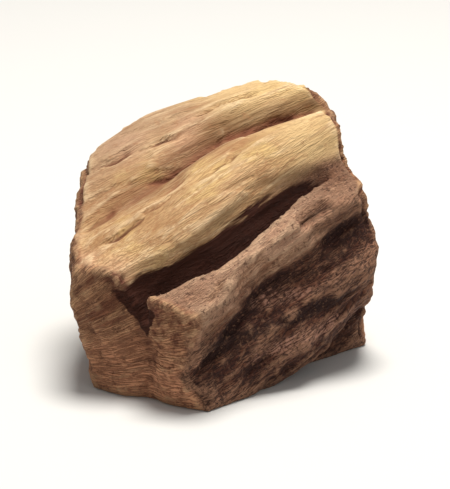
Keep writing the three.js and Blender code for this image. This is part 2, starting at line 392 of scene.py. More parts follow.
def drying_crack():
    """A thin lens that leans, wanders along the grain, closes downwards and has ragged walls."""
    crack = lens("crack", (CRACK_HALF, CRACK_WIDTH, CRACK_DEPTH), *CRACK_STEPS)
    points = points_of(crack)
    ragged = 1 + layered(points, RAGGED_WIDTH)
    points[:, 1] *= ragged * closing(points[:, 2]) * crack_fullness(points[:, 0])
    points[:, 1] += crack_line(points[:, 0]) + CRACK_LEAN * points[:, 2]
    place_points(crack, points)
    return crack


def check_frame_of(along, outward, angle):
    turn = Matrix.Rotation(math.radians(angle), 4, "X")
    return Matrix.Translation((0, PITH_Y, PITH_Z)) @ turn @ Matrix.Translation((along, outward, 0))


def drying_check(place):
    check = lens("check", (CHECK_DEPTH, CHECK_HALF, CHECK_WIDTH), *CHECK_STEPS)
    place_points(check, transformed(points_of(check), check_frame_of(*place)))
    return check


# Thin seams along the grain of the split face: a place on it, the half length, the depth, and how
# wide the slope into it is on its bark side and on its back side.
SEAMS = [
    (-1.4, 3.1, 1.9, 0.24, 0.3, 0.1), (2.0, 2.6, 1.4, 0.2, 0.12, 0.3),
    (2.2, 4.05, 2.4, 0.33, 0.2, 0.12), (4.2, 5.3, 1.3, 0.27, 0.14, 0.14),
    (-2.2, 4.5, 0.7, 0.14, 0.5, 0.1), (-0.4, 6.4, 1.5, 0.28, 0.16, 0.4),
    (4.4, 3.65, 1.4, 0.3, 0.14, 0.2), (1.6, 5.6, 1.7, 0.2, 0.4, 0.1),
    (0.2, 3.3, 0.8, 0.12, 0.12, 0.5), (2.9, 7.0, 0.9, 0.22, 0.14, 0.14),
    (-1.2, 5.3, 1.0, 0.14, 0.35, 0.1),
]
# How far a seam wanders and wobbles to the side, and how much of its depth comes and goes, each
# with its radians for a millimetre.
SEAM_WANDER, WANDER_RATE, SEAM_WOBBLE, WOBBLE_RATE = 0.07, 2.3, 0.03, 7
SEAM_COME_AND_GO, COME_AND_GO_RATE = 0.2, 3.1


def seam_depth(points):
    """How deep the thin seams cut at each point: they follow the fan's grain and taper out."""
    x, y = points[:, 0], points[:, 1]
    depth = np.zeros(len(points))
    for seam_x, seam_y, half_length, deepest, bark_slope, back_slope in SEAMS:
        _, angle = fan_place(seam_x, seam_y)
        turn = -math.radians(float(angle))
        along = (x - seam_x) * math.cos(turn) + (y - seam_y) * math.sin(turn)
        across = (y - seam_y) * math.cos(turn) - (x - seam_x) * math.sin(turn)
        wander = SEAM_WANDER * np.sin(WANDER_RATE * along + seam_y)
        across += wander + SEAM_WOBBLE * np.sin(WOBBLE_RATE * along + 3 * seam_x)
        wave = SEAM_COME_AND_GO * np.sin(COME_AND_GO_RATE * along + seam_x)
        taper = np.clip(1 - (along / half_length) ** 2, 0, 1) * (1 - SEAM_COME_AND_GO + wave)
        slope = hump(across, np.where(across < 0, bark_slope, back_slope))
        depth = np.maximum(depth, deepest * taper * slope)
    return depth


# Streaks of painted highlight and painted shade along the bark, for lit ridges and shaded furrows:
# where each lies along the grain and round the root, its half length and its width, how it turns
# from the grain, and its shade: up to 1 pale, down to -1 dark.
LIGHT_AND_SHADE_STREAKS = [
    (0.9, -1.3, 1.7, 0.5, 0.35, 1.0), (0.2, -0.8, 3.0, 0.55, 0.2, -0.9), (1.1, 0.25, 3.2, 0.7, 0.27, 0.9),
    (-1.9, -1.2, 1.2, 0.6, 0.3, -0.8), (2.6, -0.1, 2.0, 0.4, 0.15, -0.7), (0.2, 1.3, 2.4, 0.5, 0.2, -0.6),
    (3.2, 1.9, 2.2, 0.6, 0.1, 0.6), (-0.6, 2.6, 2.0, 0.6, 0.1, 0.5),
]


def bark_light_and_shade(along, arc):
    """How much painted highlight or painted shade the streaks leave on each place."""
    light_and_shade = np.zeros(len(along))
    for middle_along, middle_arc, half_length, width, turn, shade in LIGHT_AND_SHADE_STREAKS:
        across = arc - middle_arc - turn * (along - middle_along)
        taper = np.clip(1 - ((along - middle_along) / half_length) ** 2, 0, 1)
        light_and_shade += shade * taper * hump(across, width)
    return light_and_shade


def down_in_root():
    """The way down, in the root's own frame."""
    return LAID.inverted().to_3x3() @ Vector((0, 0, -1))


def cut_flat_below(piece):
    """Cuts the piece where it meets the table."""
    only(piece)
    down = down_in_root()
    bpy.ops.object.mode_set(mode="EDIT")
    bpy.ops.mesh.select_all(action="SELECT")
    bpy.ops.mesh.bisect(plane_co=down * LIE_HEIGHT, plane_no=down, use_fill=True, clear_outer=True)
    bpy.ops.object.mode_set(mode="OBJECT")


def remeshed(piece):
    """An even skin of small quads with its edges worn a little."""
    only(piece)
    remesh = piece.modifiers.new("even_skin", "REMESH")
    remesh.mode = "VOXEL"
    remesh.voxel_size = VOXEL
    bpy.ops.object.modifier_apply(modifier=remesh.name)
    bpy.ops.object.mode_set(mode="EDIT")
    bpy.ops.mesh.select_all(action="SELECT")
    bpy.ops.mesh.vertices_smooth(factor=EASING, repeat=EASING_ROUNDS)
    bpy.ops.object.mode_set(mode="OBJECT")


def normals_of(piece):
    flat = np.empty(len(piece.data.vertices) * 3, np.float32)
    piece.data.vertex_normals.foreach_get("vector", flat)
    return flat.reshape(-1, 3).astype(float)


def links_of(piece):
    """The two ends of every edge, and how many edges each point has."""
    pairs = np.empty(len(piece.data.edges) * 2, np.int32)
    piece.data.edges.foreach_get("vertices", pairs)
    starts, ends = pairs.reshape(-1, 2).T
    return starts, ends, np.bincount(pairs, minlength=len(piece.data.vertices)).astype(float)


def eased(values, links, rounds):
    """The values of the points, averaged with their neighbours this many times."""
    starts, ends, degree = links
    for _ in range(rounds):
        total = np.empty_like(values)
        for k in range(values.shape[1]):
            total[:, k] = np.bincount(starts, values[ends, k], len(values))
            total[:, k] += np.bincount(ends, values[starts, k], len(values))
        values = total / degree[:, None]
    return values


def raised_by(piece, rounds):
    """How far each point stands out from its surroundings, in millimetres."""
    points = points_of(piece)
    return np.einsum("ij,ij->i", points - eased(points, links_of(piece), rounds), normals_of(piece))


def crack_mask(points, split_gap):
    """How near each point is to the walls of the crack or of a check."""
    x, y, z = points.T
    across = (beyond_crack(x, y) - CRACK_LEAN * z) / crack_fullness(x)
    inside = (x / CRACK_HALF) ** 2 + (z / CRACK_DEPTH) ** 2
    inside = np.sqrt(inside + (across / (CRACK_WIDTH * closing(z) + CRACK_MARGIN)) ** 2)
    mask = near(inside, *CRACK_EDGE) * smooth(split_gap, *CRACK_MOUTH)
    for place in CHECKS:
        local = transformed(points, check_frame_of(*place).inverted())
        inside = (local[:, 0] / CHECK_DEPTH) ** 2 + (local[:, 1] / CHECK_HALF) ** 2
        inside = np.sqrt(inside + (local[:, 2] / (CHECK_WIDTH + CHECK_MARGIN)) ** 2)
        mask = np.maximum(mask, CHECK_SHARE * near(inside, *CHECK_EDGE))
    return mask


def lip_rim_and_shade_masks(points, split_gap):
    """Where the lip, the painted shade on the lip beside the crack, the bark's pale rim, the painted shade
    in the fan's furrows and the painted shade on the ridges beside them towards the far end are.
    """
    x, y, _ = points.T
    turns = fan_turns(x, y)
    # Painted shade in the fan's furrows and on the ridges just behind them.
    furrow = near(np.abs(np.sin(np.pi * turns)), *FURROW_SHADE_EDGE)
    stain_and_shade = near(np.abs(np.sin(np.pi * (turns - RIDGE_SHADE_OFFSET))), *RIDGE_SHADE_EDGE)
    near_split = near(split_gap, *SPLIT_EDGE)
    rim = near(split_gap + layered(points, WANDERING_RIM), *RIM_EDGE)
    return {
        "lip": near(beyond_crack(x, y), *LIP_EDGE),
        # Painted shade on the lip beside the crack.
        "lip_crack_shade": smooth(beyond_crack(x, y), *LIP_FOOT),
        "rim": rim * (1 - RIM_LOSS * smooth(x, *RIM_END)),
        "furrow": furrow * smooth(x, *FURROW_SHADE_START) * near_split,
        "stain_and_shade": stain_and_shade * smooth(turns, *RIDGE_SHADE_TURN) * smooth(x, *RIDGE_SHADE_START) * near_split,
    }


def surface_masks(points):
    """How near each point is to the bark, to each kind of cut and to the cracks, from 0 to 1."""
    x, y, z = points.T
    masks = {"split": 0, "end": 0, "torn": 0}
    for at, normal, belly_radius, relief, kind in CUTS:
        local = transformed(points, cut_frame(at, normal).inverted())
        gap = relief(x, y, z) - belly(local, belly_radius) - local[:, 2]
        masks[kind] = np.maximum(masks[kind], near(gap, *CUT_EDGE))
    arc = ROOT_RADIUS * np.arctan2(-(z - PITH_Z), -(y - PITH_Y))
    radius = np.hypot(y - PITH_Y, z - PITH_Z)
    bark_radius = ROOT_RADIUS + bark_relief(x, arc) - ROOT_TAPER * x
    masks["bark"] = near(bark_radius - radius, *BARK_EDGE)
    masks["under"] = near(LIE_HEIGHT - points @ np.array(down_in_root()), *UNDER_EDGE)
    split_gap = split_relief(x, y, z) - z
    masks["crack"] = crack_mask(points, split_gap)
    masks.update(lip_rim_and_shade_masks(points, split_gap))
    return masks, arc, radius


def grain_places(points, arc, radius):
    """Places that follow the fibres: in the split, in the bark and in the cut ends."""
    x, y, z = points.T
    reach, fan_angle = fan_place(x, y)
    in_split = np.column_stack((reach, np.radians(fan_angle) * FAN_MIDDLE, z))
    in_bark = np.column_stack((x, arc, radius))
    turn = arc / ROOT_RADIUS
    in_end = np.column_stack((radius, RAY_MIDDLE * np.cos(turn), RAY_MIDDLE * np.sin(turn)))
    return in_split, in_bark, in_end


def fine_relief(points, masks, in_split, in_bark, in_end):
    """Fibres, fine wrinkles and pits that stand on the large forms."""
    strands = STRAND_HEIGHT * crests(in_split, *SPLIT_STRANDS)
    steps = LEDGE_HEIGHT * (sum(ledges(in_split, *each) for each in SPLIT_LEDGES) - LEDGE_MEAN)
    split = layered(in_split, SPLIT_FIBRES) + strands + steps - seam_depth(points)
    split = split * (1 - masks["lip"]) + layered(points, LIP_SPONGE) * masks["lip"]
    torn = layered(points, TORN_FIBRES) + TORN_LEDGE_HEIGHT * (ledges(points, *TORN_LEDGES) - 0.5)
    bark = CREASE_HEIGHT * crests(in_bark, *BARK_CREASES) + layered(in_bark, BARK_RINGS)
    bark = bark - FLAKE_DEPTH * ledges(in_bark, *BARK_FLAKES)
    bark = bark + SCURF_HEIGHT * layered(in_bark, BARK_SCURF)
    end = END_RAY_HEIGHT * crests(in_end, *END_RAYS) + layered(points, END_PITS)
    end = end + layered(points, END_GRAIN)
    height = split * masks["split"]
    for kind, relief in (("torn", torn), ("bark", bark), ("end", end)):
        height = height * (1 - masks[kind]) + relief * masks[kind]
    return height + layered(points, CRACK_WALLS) * masks["crack"]


def edge_wear(points, masks):
    """How deep the sharp edges are worn and chipped."""
    edges = np.clip(masks["split"] + masks["torn"] + masks["bark"] + masks["end"] - 1, 0, 1)
    chips = CHIP_DEPTH * ledges(points, *WORN_CHIPS)
    return edges * (chips + np.abs(layered(points, EDGE_CHIPS)))


def lay_down(points):
    """The points as they lie over the table, still in millimetres."""
    laid = transformed(points, LAID)
    laid[:, 2] += LIE_HEIGHT
    return laid


def store(piece, name, values, kind="FLOAT"):
    attribute = piece.data.attributes.new(name, kind, "POINT")
    field = "vector" if kind == "FLOAT_VECTOR" else "value"
    attribute.data.foreach_set(field, np.ascontiguousarray(values, np.float32).ravel())


def cut_chip():
    """The chip cut from its root and cracked by drying, and the middle of its box before it cracked."""
    chip = root_stretch()
    for at, normal, belly_radius, relief, kind in CUTS:
        take_away(chip, cutter(at, normal, belly_radius, relief))
    cut_flat_below(chip)
    outline = lay_down(points_of(chip))
    take_away(chip, drying_crack())
    for place in CHECKS:
        take_away(chip, drying_check(place))
    remeshed(chip)
    return chip, (outline.min(0) + outline.max(0)) / 2


def surface(chip):
    """Gives the chip its fine relief and worn edges, and stores what its finish reads."""
    points = points_of(chip)
    masks, arc, radius = surface_masks(points)
    in_split, in_bark, in_end = grain_places(points, arc, radius)
    outward = normals_of(chip)
    outward_on_edges = eased(outward, links_of(chip), EDGE_ROUNDS)
    outward_on_edges /= np.linalg.norm(outward_on_edges, axis=1)[:, None]
    moved = outward * fine_relief(points, masks, in_split, in_bark, in_end)[:, None]
    moved -= outward_on_edges * edge_wear(points, masks)[:, None]
    place_points(chip, points + moved * (1 - masks["under"])[:, None])
    store(chip, "raised_fine", np.clip(raised_by(chip, FINE_ROUNDS) / FINE_FULL, -1, 1))
    store(chip, "raised_broad", np.clip(raised_by(chip, BROAD_ROUNDS) / BROAD_FULL, -1, 1))
    for kind in masks:
        store(chip, "near_" + kind, masks[kind])
    store(chip, "bark_light_and_shade", bark_light_and_shade(points[:, 0], arc))
    places = {"root": points, "split": in_split, "bark": in_bark, "end": in_end}
    for name, place in places.items():
        store(chip, name + "_place", place, "FLOAT_VECTOR")


def burdock_chip():
    chip, middle = cut_chip()
    surface(chip)
    laid = lay_down(points_of(chip)) - np.array((middle[0], middle[1], 0))
    laid[:, 2] = np.maximum(laid[:, 2], 0)
    place_points(chip, laid * MM)
    only(chip)
    bpy.ops.object.shade_smooth()
    return chip


# ---- materials ----


def linear(red, green, blue):
    """An everyday colour, 0 to 255, as Blender's linear one."""
    return tuple((c / 255) ** 2.2 for c in (red, green, blue)) + (1,)


def shades(colours):
    return {name: linear(*colour) for name, colour in colours.items()}


# The shades of each finish.
WOOD = shades({
    "brown": (166, 127, 88), "tan": (196, 160, 117), "golden": (206, 174, 112),
    "blush": (206, 160, 130), "bleached_and_highlit": (228, 200, 160), "fibre": (134, 88, 58),
    "grey back": (160, 131, 107), "far end": (236, 204, 146), "furrow": (98, 60, 39),
    "stain_and_shade": (92, 60, 28), "line": (136, 92, 62), "shade in hollows": (118, 70, 50),
    "shade in crevices": (92, 54, 36), "dust": (150, 104, 70),
})
BARK = shades({
    "dark": (64, 34, 26), "brown": (108, 69, 52), "scurf": (138, 99, 77), "highlight on crests": (158, 116, 92),
    "crease": (84, 54, 44), "fine crease": (44, 25, 21), "ring": (54, 32, 27),
    "furrow": (46, 22, 18), "highlight streak": (174, 128, 108), "shade streak": (42, 21, 16),
    "shade in crevices": (48, 27, 22), "wear_and_highlight": (160, 119, 93), "fleck": (140, 104, 82), "pit": (48, 29, 24),
})
CORTEX = shades({
    "brown": (160, 113, 86), "pale": (208, 164, 130), "pale fibre": (212, 176, 142),
    "dark fibre": (84, 52, 40), "wear_and_highlight": (208, 174, 140), "highlight on crests": (206, 168, 140),
    "shade in hollows": (72, 40, 32), "ends": (112, 76, 58), "shade by crack": (96, 62, 46),
    "pit": (64, 38, 30),
})
CUT_END = shades({
    "brown wood": (116, 74, 54), "tan wood": (168, 124, 92), "pith pit": (150, 116, 86),
    "pith": (208, 178, 140), "brown cortex": (126, 82, 60), "tan cortex": (176, 130, 96),
    "cambium": (78, 46, 33), "stain_and_shade": (106, 58, 48), "painted light at foot": (206, 146, 110),
    "pale ray": (184, 142, 108), "dark ray": (80, 48, 36), "spongy hollow": (78, 46, 36),
    "pit": (88, 56, 42), "wear_and_highlight": (196, 156, 118), "shade in crevices": (72, 42, 32),
    "shade in hollows": (92, 56, 42),
})
# Painted shade for the walls of the crack and of the checks, where little light reaches.
CRACK_SHADE = linear(60, 30, 18)
DULLNESS = 0.25


def add(tree, kind, inputs=(), **settings):
    """A node with its settings, and its inputs by name or number: a socket is linked, a value is set."""
    made = tree.nodes.new(kind)
    for name, value in settings.items():
        setattr(made, name, value)
    for key, value in dict(inputs).items():
        if isinstance(value, bpy.types.NodeSocket):
            tree.links.new(value, made.inputs[key])
        else:
            made.inputs[key].default_value = value
    return made


def maths(tree, operation, a, b=0.0, clamp=False):
    return add(tree, "ShaderNodeMath", {0: a, 1: b}, operation=operation, use_clamp=clamp).outputs[0]


def mix_colour(tree, factor, a, b):
    return add(tree, "ShaderNodeMix", {0: factor, 6: a, 7: b}, data_type="RGBA").outputs[2]


def mix_value(tree, factor, a, b):
    return add(tree, "ShaderNodeMix", {0: factor, 2: a, 3: b}, data_type="FLOAT").outputs[0]


def between(tree, value, low, high, to_low=0.0, to_high=1.0):
    inputs = {0: value, 1: low, 2: high, 3: to_low, 4: to_high}
    return add(tree, "ShaderNodeMapRange", inputs, interpolation_type="SMOOTHSTEP").outputs[0]


def tinted(tree, colour, shade, value, low, high, share=1.0):
    """The colour, tinted with a shade as the value goes from low to high, by at most this share."""
    return mix_colour(tree, between(tree, value, low, high, 0.0, share), colour, shade)


def stacked(tree, first, *others):
    """The sum of the layers: each is a value and the height in millimetres that it is raised by."""
    total = maths(tree, "MULTIPLY", *first)
    for layer in others:
        total = maths(tree, "ADD", total, maths(tree, "MULTIPLY", *layer))
    return total


def part_along(tree, place, axis):
    return add(tree, "ShaderNodeSeparateXYZ", {0: place}).outputs[axis]


def attribute(tree, name, output="Fac"):
    return add(tree, "ShaderNodeAttribute", attribute_name=name, attribute_type="GEOMETRY").outputs[output]


def group(name, inputs, outputs):
    """A new node group with its named sockets, its inside input and its inside output."""
    tree = bpy.data.node_groups.new(name, "ShaderNodeTree")
    for label, kind, value in inputs:
        socket = tree.interface.new_socket(label, in_out="INPUT", socket_type="NodeSocket" + kind)
        if value is not None:
            socket.default_value = value
    for label, kind in outputs:
        tree.interface.new_socket(label, in_out="OUTPUT", socket_type="NodeSocket" + kind)
    return tree, tree.nodes.new("NodeGroupInput").outputs, tree.nodes.new("NodeGroupOutput").inputs


def use(tree, group_tree, inputs):
    return add(tree, "ShaderNodeGroup", inputs, node_tree=group_tree).outputs


def noise_at(tree, place, scale, detail=3.0, roughness=0.55, distortion=0.0):
    inputs = {"Vector": place, "Scale": scale, "Detail": detail, "Roughness": roughness}
    inputs["Distortion"] = distortion
    return add(tree, "ShaderNodeTexNoise", inputs).outputs["Fac"]


def scaled_place(tree, place, x, y, z):
    combined = add(tree, "ShaderNodeCombineXYZ", {0: x, 1: y, 2: z}).outputs[0]
    return add(tree, "ShaderNodeVectorMath", {0: place, 1: combined}, operation="MULTIPLY").outputs[0]


def streaks_group():
    """Streaks that run with the grain, each with a length and a width in millimetres."""
    tree, given, out = group(
        "fibre_streaks",
        [("Place", "Vector", None), ("Length", "Float", 3.0), ("Width", "Float", 0.3)],
        [("Streaks", "Float"), ("Fibres", "Float")],
    )
    along = maths(tree, "DIVIDE", 1.0, given["Length"])
    across = maths(tree, "DIVIDE", 1.0, given["Width"])
    place = scaled_place(tree, given["Place"], along, across, across)
    tree.links.new(noise_at(tree, place, 1.0, 4.0, 0.6, 0.4), out["Streaks"])
    fibres = noise_at(tree, place, 3.1, 2.0, 0.5)
    folded = maths(tree, "ABSOLUTE", maths(tree, "SUBTRACT", fibres, 0.5))
    tree.links.new(between(tree, folded, 0.0, 0.16), out["Fibres"])
    return tree


def grit_group():
    """Fine speckle, dust and pits for every surface."""
    tree, given, out = group(
        "fine_grit",
        [("Place", "Vector", None), ("Size", "Float", 0.2)],
        [("Speckle", "Float"), ("Pits", "Float")],
    )
    scale = maths(tree, "DIVIDE", 1.0, given["Size"])
    tree.links.new(noise_at(tree, given["Place"], scale, 4.0, 0.65), out["Speckle"])
    cells = add(tree, "ShaderNodeTexVoronoi", {"Vector": given["Place"], "Scale": scale}, feature="F1")
    tree.links.new(between(tree, cells.outputs["Distance"], 0.08, 0.3), out["Pits"])
    return tree


def finish_group(name, place, *masks):
    """An empty finish that is given places, how far the surface is raised, and masks."""
    inputs = [(place, "Vector", None), ("Root Place", "Vector", None)]
    inputs += [(label, "Float", 0.0) for label in ("Raised Fine", "Raised Broad", *masks)]
    return group(name, inputs, [("Color", "Color"), ("Roughness", "Float"), ("Height", "Float")])


def put_out(tree, out, colour, roughness, height):
    for name, value in (("Color", colour), ("Roughness", roughness), ("Height", height)):
        tree.links.new(value, out[name])
    return tree


def wear_and_highlight_by(tree, raised, grain, low, high, share):
    """How far the raised parts are paled by wear and painted highlight: broken up by the grain, so that no
    edge is evenly pale.
    """
    wear_and_highlight = between(tree, raised, low, high, 0.0, share)
    return maths(tree, "MULTIPLY", wear_and_highlight, between(tree, grain, 0.36, 0.6, 0.15, 1.15), clamp=True)


def wood_group(streaks, grit):
    """Pale split wood: streaked fibres; painted shade, darker and redder, in the furrows, beside them, in
    hollows and in crevices; painted highlight with bleaching on raised edges.
    """
    tree, given, out = finish_group("split_wood_finish", "Grain Place", "Furrow Shade", "Ridge Shade")
    broad = use(tree, streaks, {"Place": given["Grain Place"], "Length": 5.0, "Width": 0.9})
    fine = use(tree, streaks, {"Place": given["Grain Place"], "Length": 2.2, "Width": 0.2})
    dust = use(tree, grit, {"Place": given["Root Place"], "Size": 0.28})
    lines = use(tree, streaks, {"Place": given["Grain Place"], "Length": 7.0, "Width": 0.3})
    patches = noise_at(tree, given["Root Place"], 0.33, 2.0)
    blush = noise_at(tree, given["Root Place"], 0.21, 2.0)
    forward = part_along(tree, given["Root Place"], "X")
    inward = part_along(tree, given["Root Place"], "Y")
    colour = tinted(tree, WOOD["brown"], WOOD["tan"], broad["Streaks"], 0.35, 0.65)
    colour = tinted(tree, colour, WOOD["golden"], patches, 0.5, 0.64, 0.7)
    colour = tinted(tree, colour, WOOD["blush"], blush, 0.5, 0.64, 0.6)
    colour = tinted(tree, colour, WOOD["bleached_and_highlit"], fine["Streaks"], 0.5, 0.72, 0.55)
    colour = tinted(tree, colour, WOOD["fibre"], fine["Fibres"], 0.35, 0.0, 0.45)
    colour = tinted(tree, colour, WOOD["grey back"], inward, 4.2, 7.2, 0.6)
    colour = tinted(tree, colour, WOOD["far end"], forward, 3.0, 4.8, 0.45)
    # Painted shade in the fan's furrows, darker and redder.
    brown = maths(tree, "MULTIPLY", given["Furrow Shade"], between(tree, broad["Streaks"], 0.3, 0.6, 1.0, 0.55))
    colour = mix_colour(tree, maths(tree, "MULTIPLY", brown, 0.95), colour, WOOD["furrow"])
    # Painted shade on the shaded side of the ridges, towards the far end.
    ridge_shade = maths(tree, "MULTIPLY", given["Ridge Shade"], between(tree, fine["Streaks"], 0.3, 0.6, 0.95, 0.6))
    colour = mix_colour(tree, ridge_shade, colour, WOOD["stain_and_shade"])
    colour = tinted(tree, colour, WOOD["line"], lines["Streaks"], 0.58, 0.68, 0.55)
    # Painted shade in broad hollows.
    colour = tinted(tree, colour, WOOD["shade in hollows"], given["Raised Broad"], -0.02, -0.5, 0.9)
    # Painted shade in fine crevices.
    colour = tinted(tree, colour, WOOD["shade in crevices"], given["Raised Fine"], -0.3, -1.0, 0.75)
    # Painted highlight on raised edges, together with bleaching by wear.
    wear_and_highlight = wear_and_highlight_by(tree, given["Raised Fine"], fine["Streaks"], 0.15, 0.8, 0.5)
    colour = mix_colour(tree, wear_and_highlight, colour, WOOD["bleached_and_highlit"])
    colour = tinted(tree, colour, WOOD["dust"], dust["Speckle"], 0.56, 0.7, 0.4)
    roughness = between(tree, fine["Streaks"], 0.3, 0.7, 0.78, 0.92)
    height = stacked(tree, (fine["Fibres"], 0.02), (dust["Speckle"], 0.03), (broad["Fibres"], 0.02))
    return put_out(tree, out, colour, roughness, height)


def bark_group(streaks, grit):
    """Dark dried bark: creased along the grain, scurfy, with pale flecks; grey wear with painted highlight
    on top and on crests, painted shade in furrows and crevices, and streaks of both.
    """
    tree, given, out = finish_group("bark_finish", "Bark Place", "Light And Shade")
    broad = use(tree, streaks, {"Place": given["Bark Place"], "Length": 3.0, "Width": 0.7})
    creases = use(tree, streaks, {"Place": given["Bark Place"], "Length": 1.7, "Width": 0.32})
    crossing = scaled_place(tree, given["Bark Place"], 5.5, 1.1, 1.1)
    rings = noise_at(tree, crossing, 1.0, 4.0, 0.65, 0.8)
    dust = use(tree, grit, {"Place": given["Root Place"], "Size": 0.12})
    drawn_out = scaled_place(tree, given["Bark Place"], 0.5, 1.0, 1.0)
    scurf = use(tree, grit, {"Place": drawn_out, "Size": 0.42})
    colour = tinted(tree, BARK["dark"], BARK["brown"], broad["Streaks"], 0.36, 0.64)
    colour = tinted(tree, colour, BARK["scurf"], scurf["Speckle"], 0.52, 0.62, 0.55)
    # Painted highlight on the bark's broad crests.
    colour = tinted(tree, colour, BARK["highlight on crests"], given["Raised Broad"], 0.08, 0.5, 0.75)
    colour = tinted(tree, colour, BARK["crease"], creases["Streaks"], 0.52, 0.66, 0.6)
    colour = tinted(tree, colour, BARK["fine crease"], creases["Fibres"], 0.45, 0.0, 0.8)
    colour = tinted(tree, colour, BARK["ring"], rings, 0.58, 0.7, 0.5)
    # Painted shade in the bark's broad furrows.
    colour = tinted(tree, colour, BARK["furrow"], given["Raised Broad"], 0.0, -0.5, 0.8)
    ragged = maths(tree, "MULTIPLY", maths(tree, "SUBTRACT", creases["Streaks"], 0.5), 1.6)
    light_and_shade = maths(tree, "ADD", given["Light And Shade"], ragged)
    between_creases = between(tree, creases["Fibres"], 0.0, 0.5, 0.1, 1.0)
    between_rings = between(tree, rings, 0.46, 0.62, 1.0, 0.25)
    # Pale streaks are painted highlight, dark streaks painted shade.
    pale = maths(tree, "MULTIPLY", between(tree, light_and_shade, 0.2, 0.9, 0.0, 0.85), between_creases)
    pale = maths(tree, "MULTIPLY", pale, between_rings)
    colour = mix_colour(tree, pale, colour, BARK["highlight streak"])
    colour = tinted(tree, colour, BARK["shade streak"], light_and_shade, -0.25, -0.85, 0.8)
    # Painted shade in fine crevices.
    colour = tinted(tree, colour, BARK["shade in crevices"], given["Raised Fine"], -0.2, -0.9, 0.7)
    # Painted highlight on raised edges, together with wear.
    wear_and_highlight = wear_and_highlight_by(tree, given["Raised Fine"], dust["Speckle"], 0.1, 0.8, 0.55)
    colour = mix_colour(tree, wear_and_highlight, colour, BARK["wear_and_highlight"])
    colour = tinted(tree, colour, BARK["fleck"], dust["Speckle"], 0.54, 0.68, 0.5)
    colour = tinted(tree, colour, BARK["pit"], dust["Speckle"], 0.47, 0.34, 0.7)
    roughness = between(tree, dust["Speckle"], 0.3, 0.7, 0.74, 0.93)
    height = stacked(
        tree, (rings, -0.03), (dust["Speckle"], 0.045), (scurf["Speckle"], 0.08), (creases["Fibres"], 0.05)
    )
    return put_out(tree, out, colour, roughness, height)


def cortex_group(streaks, grit):
    """The split edge of the cortex beside the crack: brown, short-fibred and spongy."""
    tree, given, out = finish_group("cortex_finish", "Grain Place", "Crack Shade")
    broad = use(tree, streaks, {"Place": given["Grain Place"], "Length": 2.4, "Width": 0.6})
    fine = use(tree, streaks, {"Place": given["Grain Place"], "Length": 1.1, "Width": 0.16})
    dust = use(tree, grit, {"Place": given["Root Place"], "Size": 0.15})
    forward = part_along(tree, given["Root Place"], "X")
    colour = tinted(tree, CORTEX["brown"], CORTEX["pale"], broad["Streaks"], 0.36, 0.62)
    colour = tinted(tree, colour, CORTEX["pale fibre"], fine["Streaks"], 0.52, 0.68, 0.6)
    colour = tinted(tree, colour, CORTEX["dark fibre"], fine["Fibres"], 0.35, 0.0, 0.6)
    # Painted highlight on raised edges, together with wear.
    wear_and_highlight = wear_and_highlight_by(tree, given["Raised Fine"], fine["Streaks"], 0.1, 0.8, 0.65)
    colour = mix_colour(tree, wear_and_highlight, colour, CORTEX["wear_and_highlight"])
    # Painted highlight on the lip's broad crests.
    colour = tinted(tree, colour, CORTEX["highlight on crests"], given["Raised Broad"], 0.05, 0.5, 0.35)
    # Painted shade in broad hollows.
    colour = tinted(tree, colour, CORTEX["shade in hollows"], given["Raised Broad"], -0.05, -0.5, 0.7)
    # Painted shade, darker towards both ends of the lip.
    colour = tinted(tree, colour, CORTEX["ends"], forward, 0.5, -2.5, 0.35)
    colour = tinted(tree, colour, CORTEX["ends"], forward, 1.5, 4.5, 0.5)
    # Painted shade on the lip beside the crack.
    shaded = maths(tree, "ADD", given["Crack Shade"], maths(tree, "SUBTRACT", broad["Streaks"], 0.5))
    colour = tinted(tree, colour, CORTEX["shade by crack"], shaded, 0.2, 1.0, 0.35)
    colour = tinted(tree, colour, CORTEX["pit"], dust["Speckle"], 0.45, 0.34, 0.7)
    roughness = between(tree, dust["Speckle"], 0.3, 0.7, 0.8, 0.94)
    height = stacked(tree, (fine["Fibres"], 0.04), (dust["Speckle"], 0.07))
    return put_out(tree, out, colour, roughness, height)


